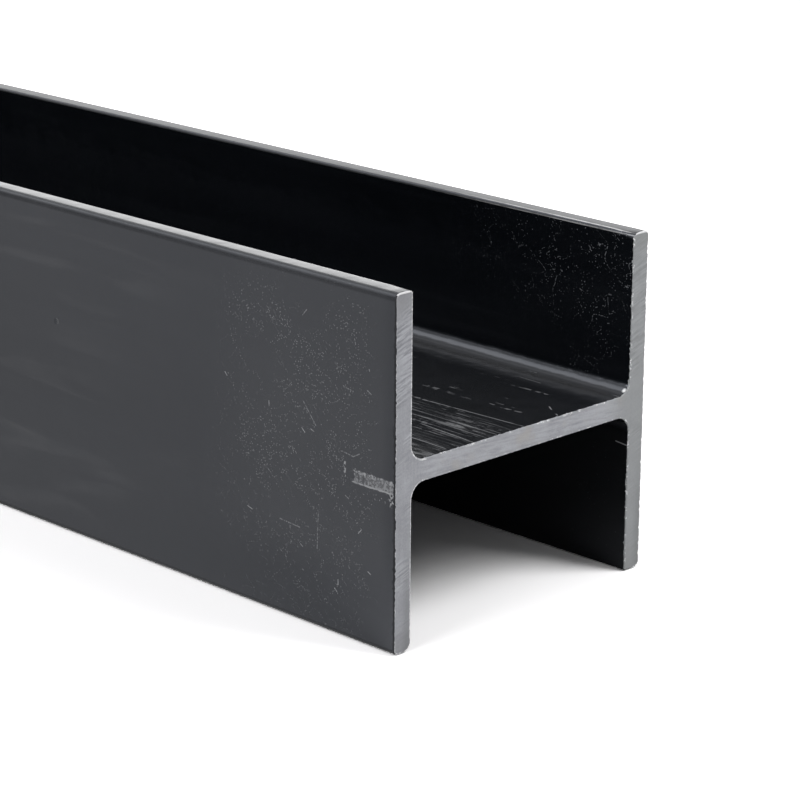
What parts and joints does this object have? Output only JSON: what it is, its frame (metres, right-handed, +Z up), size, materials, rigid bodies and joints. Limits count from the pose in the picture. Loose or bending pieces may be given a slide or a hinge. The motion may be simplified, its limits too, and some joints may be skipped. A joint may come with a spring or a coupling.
{
  "type": "fiberglass wide-flange beam",
  "caption": "Pultruded fiberglass wide-flange beam with an H section, filleted web roots and rounded flange tips, sawn square at its ends. Carries load as a beam or column.",
  "frame": {"origin": "middle of the footprint, on the floor under the web", "axes": "+X along the beam towards the sawn end that the picture shows, +Y across it from flange to flange, +Z up"},
  "size_m": [1.524, 0.1016, 0.1016],
  "materials": {
    "pultruded_fiberglass": "dark grey resin skin with a slight sheen, fine pale fibre marks along its length, paler sawn ends"
  },
  "bodies": {
    "root": {"wide_flange_beam": "pultruded_fiberglass"}
  },
  "joints": []
}
